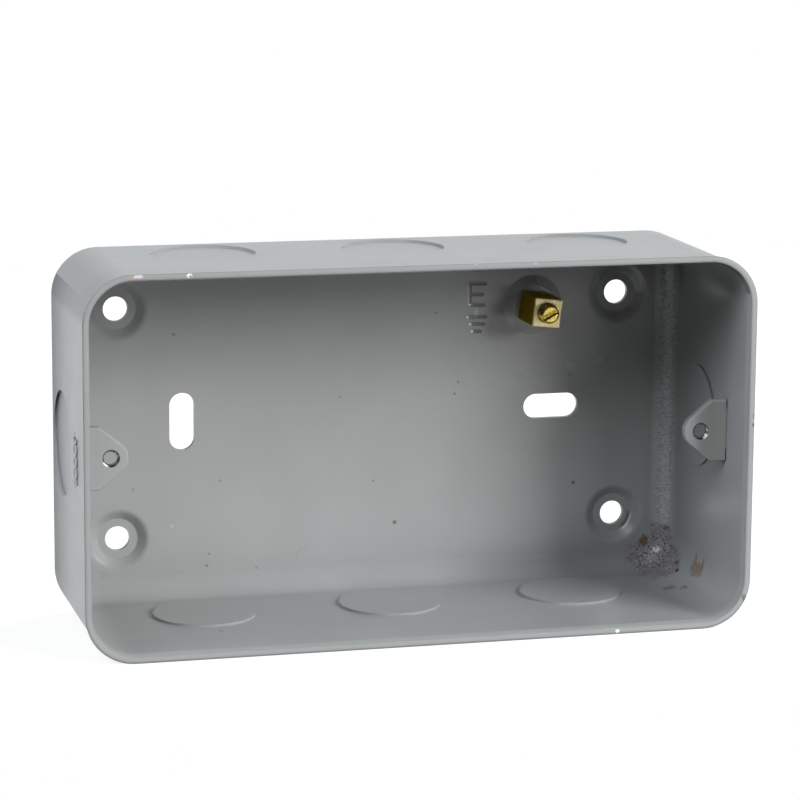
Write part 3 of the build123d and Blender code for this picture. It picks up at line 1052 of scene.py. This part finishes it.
print("lug thread of pitch", M3_5_PITCH, "mm")

# %% Threads of both lugs
PLATE_FRONT_Y, PLATE_BACK_Y = -35.8, -34.2
bare_steel = Finish("cut_steel", Metallic=1.0)
streak = bare_steel.noise(0.4, 3)
metal = bare_steel.shader.inputs
bare_steel.feed(metal["Base Color"], bare_steel.blend(streak, (0.50,) * 3, (0.85, 0.85, 0.84)))
bare_steel.feed(metal["Roughness"], bare_steel.fade(streak, 0.3, 0.7, 0.18, 0.3))
for side, sign_x in (("left", -1), ("right", 1)):
    thread = thread_ridge(
        "lug_thread_" + side, sign_x * LUG_HOLE_X, LUG_HOLE_Z, PLATE_FRONT_Y, PLATE_BACK_Y
    )
    dress(thread, bare_steel)
    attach(thread, "root")
    print(thread.name, "faces", len(thread.data.polygons))

# %% [markdown]
# ## The terminal screw
# The CAD screw is a plain cylinder, and this one takes its place. It is a sheet of points
# round the axis, whose radius follows the thread: up and down once in each pitch, shifted
# once round in each turn. A helix swept along a curve would leave gaps at the ends, while
# this stays one closed body.

# %% Threaded body
M4_PITCH = 0.7
M4_CREST, M4_ROOT = 1.98, 1.60
FLANK_STEEPNESS = 1.4
END_CHAMFER = 0.5
AROUND, ROWS = 96, 84
screw_x = (screw_low.x + screw_high.x) / 2 / MM
screw_z = (screw_low.z + screw_high.z) / 2 / MM


def thread_radius(angle, depth, length):
    """Radius of the screw at an angle and a depth; steeper flanks leave a flat crest."""
    phase = (depth / M4_PITCH - angle / (2 * math.pi)) % 1.0
    crest = min(1.0, FLANK_STEEPNESS * (1 - abs(2 * phase - 1)))
    radius = M4_ROOT + (M4_CREST - M4_ROOT) * crest
    end = min(depth, length - depth)
    return min(radius, M4_CREST - max(0.0, END_CHAMFER - end))


def terminal_screw():
    length = (screw_high.y - screw_low.y) / MM
    shape = bmesh.new()
    rings = []
    for j in range(ROWS + 1):
        depth = length * j / ROWS
        ring = []
        for i in range(AROUND):
            angle = 2 * math.pi * i / AROUND
            radius = thread_radius(angle, depth, length)
            x, z = screw_x + radius * math.cos(angle), screw_z + radius * math.sin(angle)
            ring.append(shape.verts.new((x * MM, screw_low.y + depth * MM, z * MM)))
        rings.append(ring)
    for near, far in zip(rings, rings[1:]):
        for i in range(AROUND):
            k = (i + 1) % AROUND
            shape.faces.new((near[i], near[k], far[k], far[i]))
    shape.faces.new(rings[0])
    shape.faces.new(rings[-1])
    return new_piece("terminal_screw", shape)


screw = terminal_screw()
print("threaded body with", len(screw.data.polygons), "faces")

# %% [markdown]
# ## The screw's slot
# A slitting saw cuts the slot across the end of the real screw, and a Boolean modifier does
# the same here with a long block. Moving points by hand would bend the thread beside the
# slot. The result is applied and the block is removed, so the screw is handed on as plain
# mesh.

# %% Slot and assembly
SLOT_WIDE, SLOT_DEEP, SLOT_LONG = 1.2, 0.7, 6
SLOT_TURN = 29.0
SHARP_FROM = 32


def cut_slot(piece):
    """Cut a straight slot across the front end of the screw."""
    shape = bmesh.new()
    bmesh.ops.create_cube(shape, size=1)
    place = Matrix.Translation((screw_x * MM, screw_low.y, screw_z * MM))
    turn = Matrix.Rotation(math.radians(-SLOT_TURN), 4, "Y")
    size = Matrix.Diagonal((SLOT_LONG * MM, 2 * SLOT_DEEP * MM, SLOT_WIDE * MM, 1))
    bmesh.ops.transform(shape, matrix=place @ turn @ size, verts=shape.verts)
    cutter = new_piece("slot_cutter", shape)
    cut = piece.modifiers.new("slot", "BOOLEAN")
    cut.operation = "DIFFERENCE"
    cut.object = cutter
    cut.solver = "EXACT"
    ready = bpy.context.evaluated_depsgraph_get()
    piece.data = bpy.data.meshes.new_from_object(piece.evaluated_get(ready))
    piece.modifiers.clear()
    bpy.data.objects.remove(cutter)


cut_slot(screw)
for face in screw.data.polygons:
    face.use_smooth = True
screw.data.set_sharp_from_angle(angle=math.radians(SHARP_FROM))
dress(screw, screw_brass)
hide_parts("earth_terminal_screw")
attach(screw, "root")
print("screw faces:", len(screw.data.polygons))

# %% [markdown] ## All pieces dressed and lit
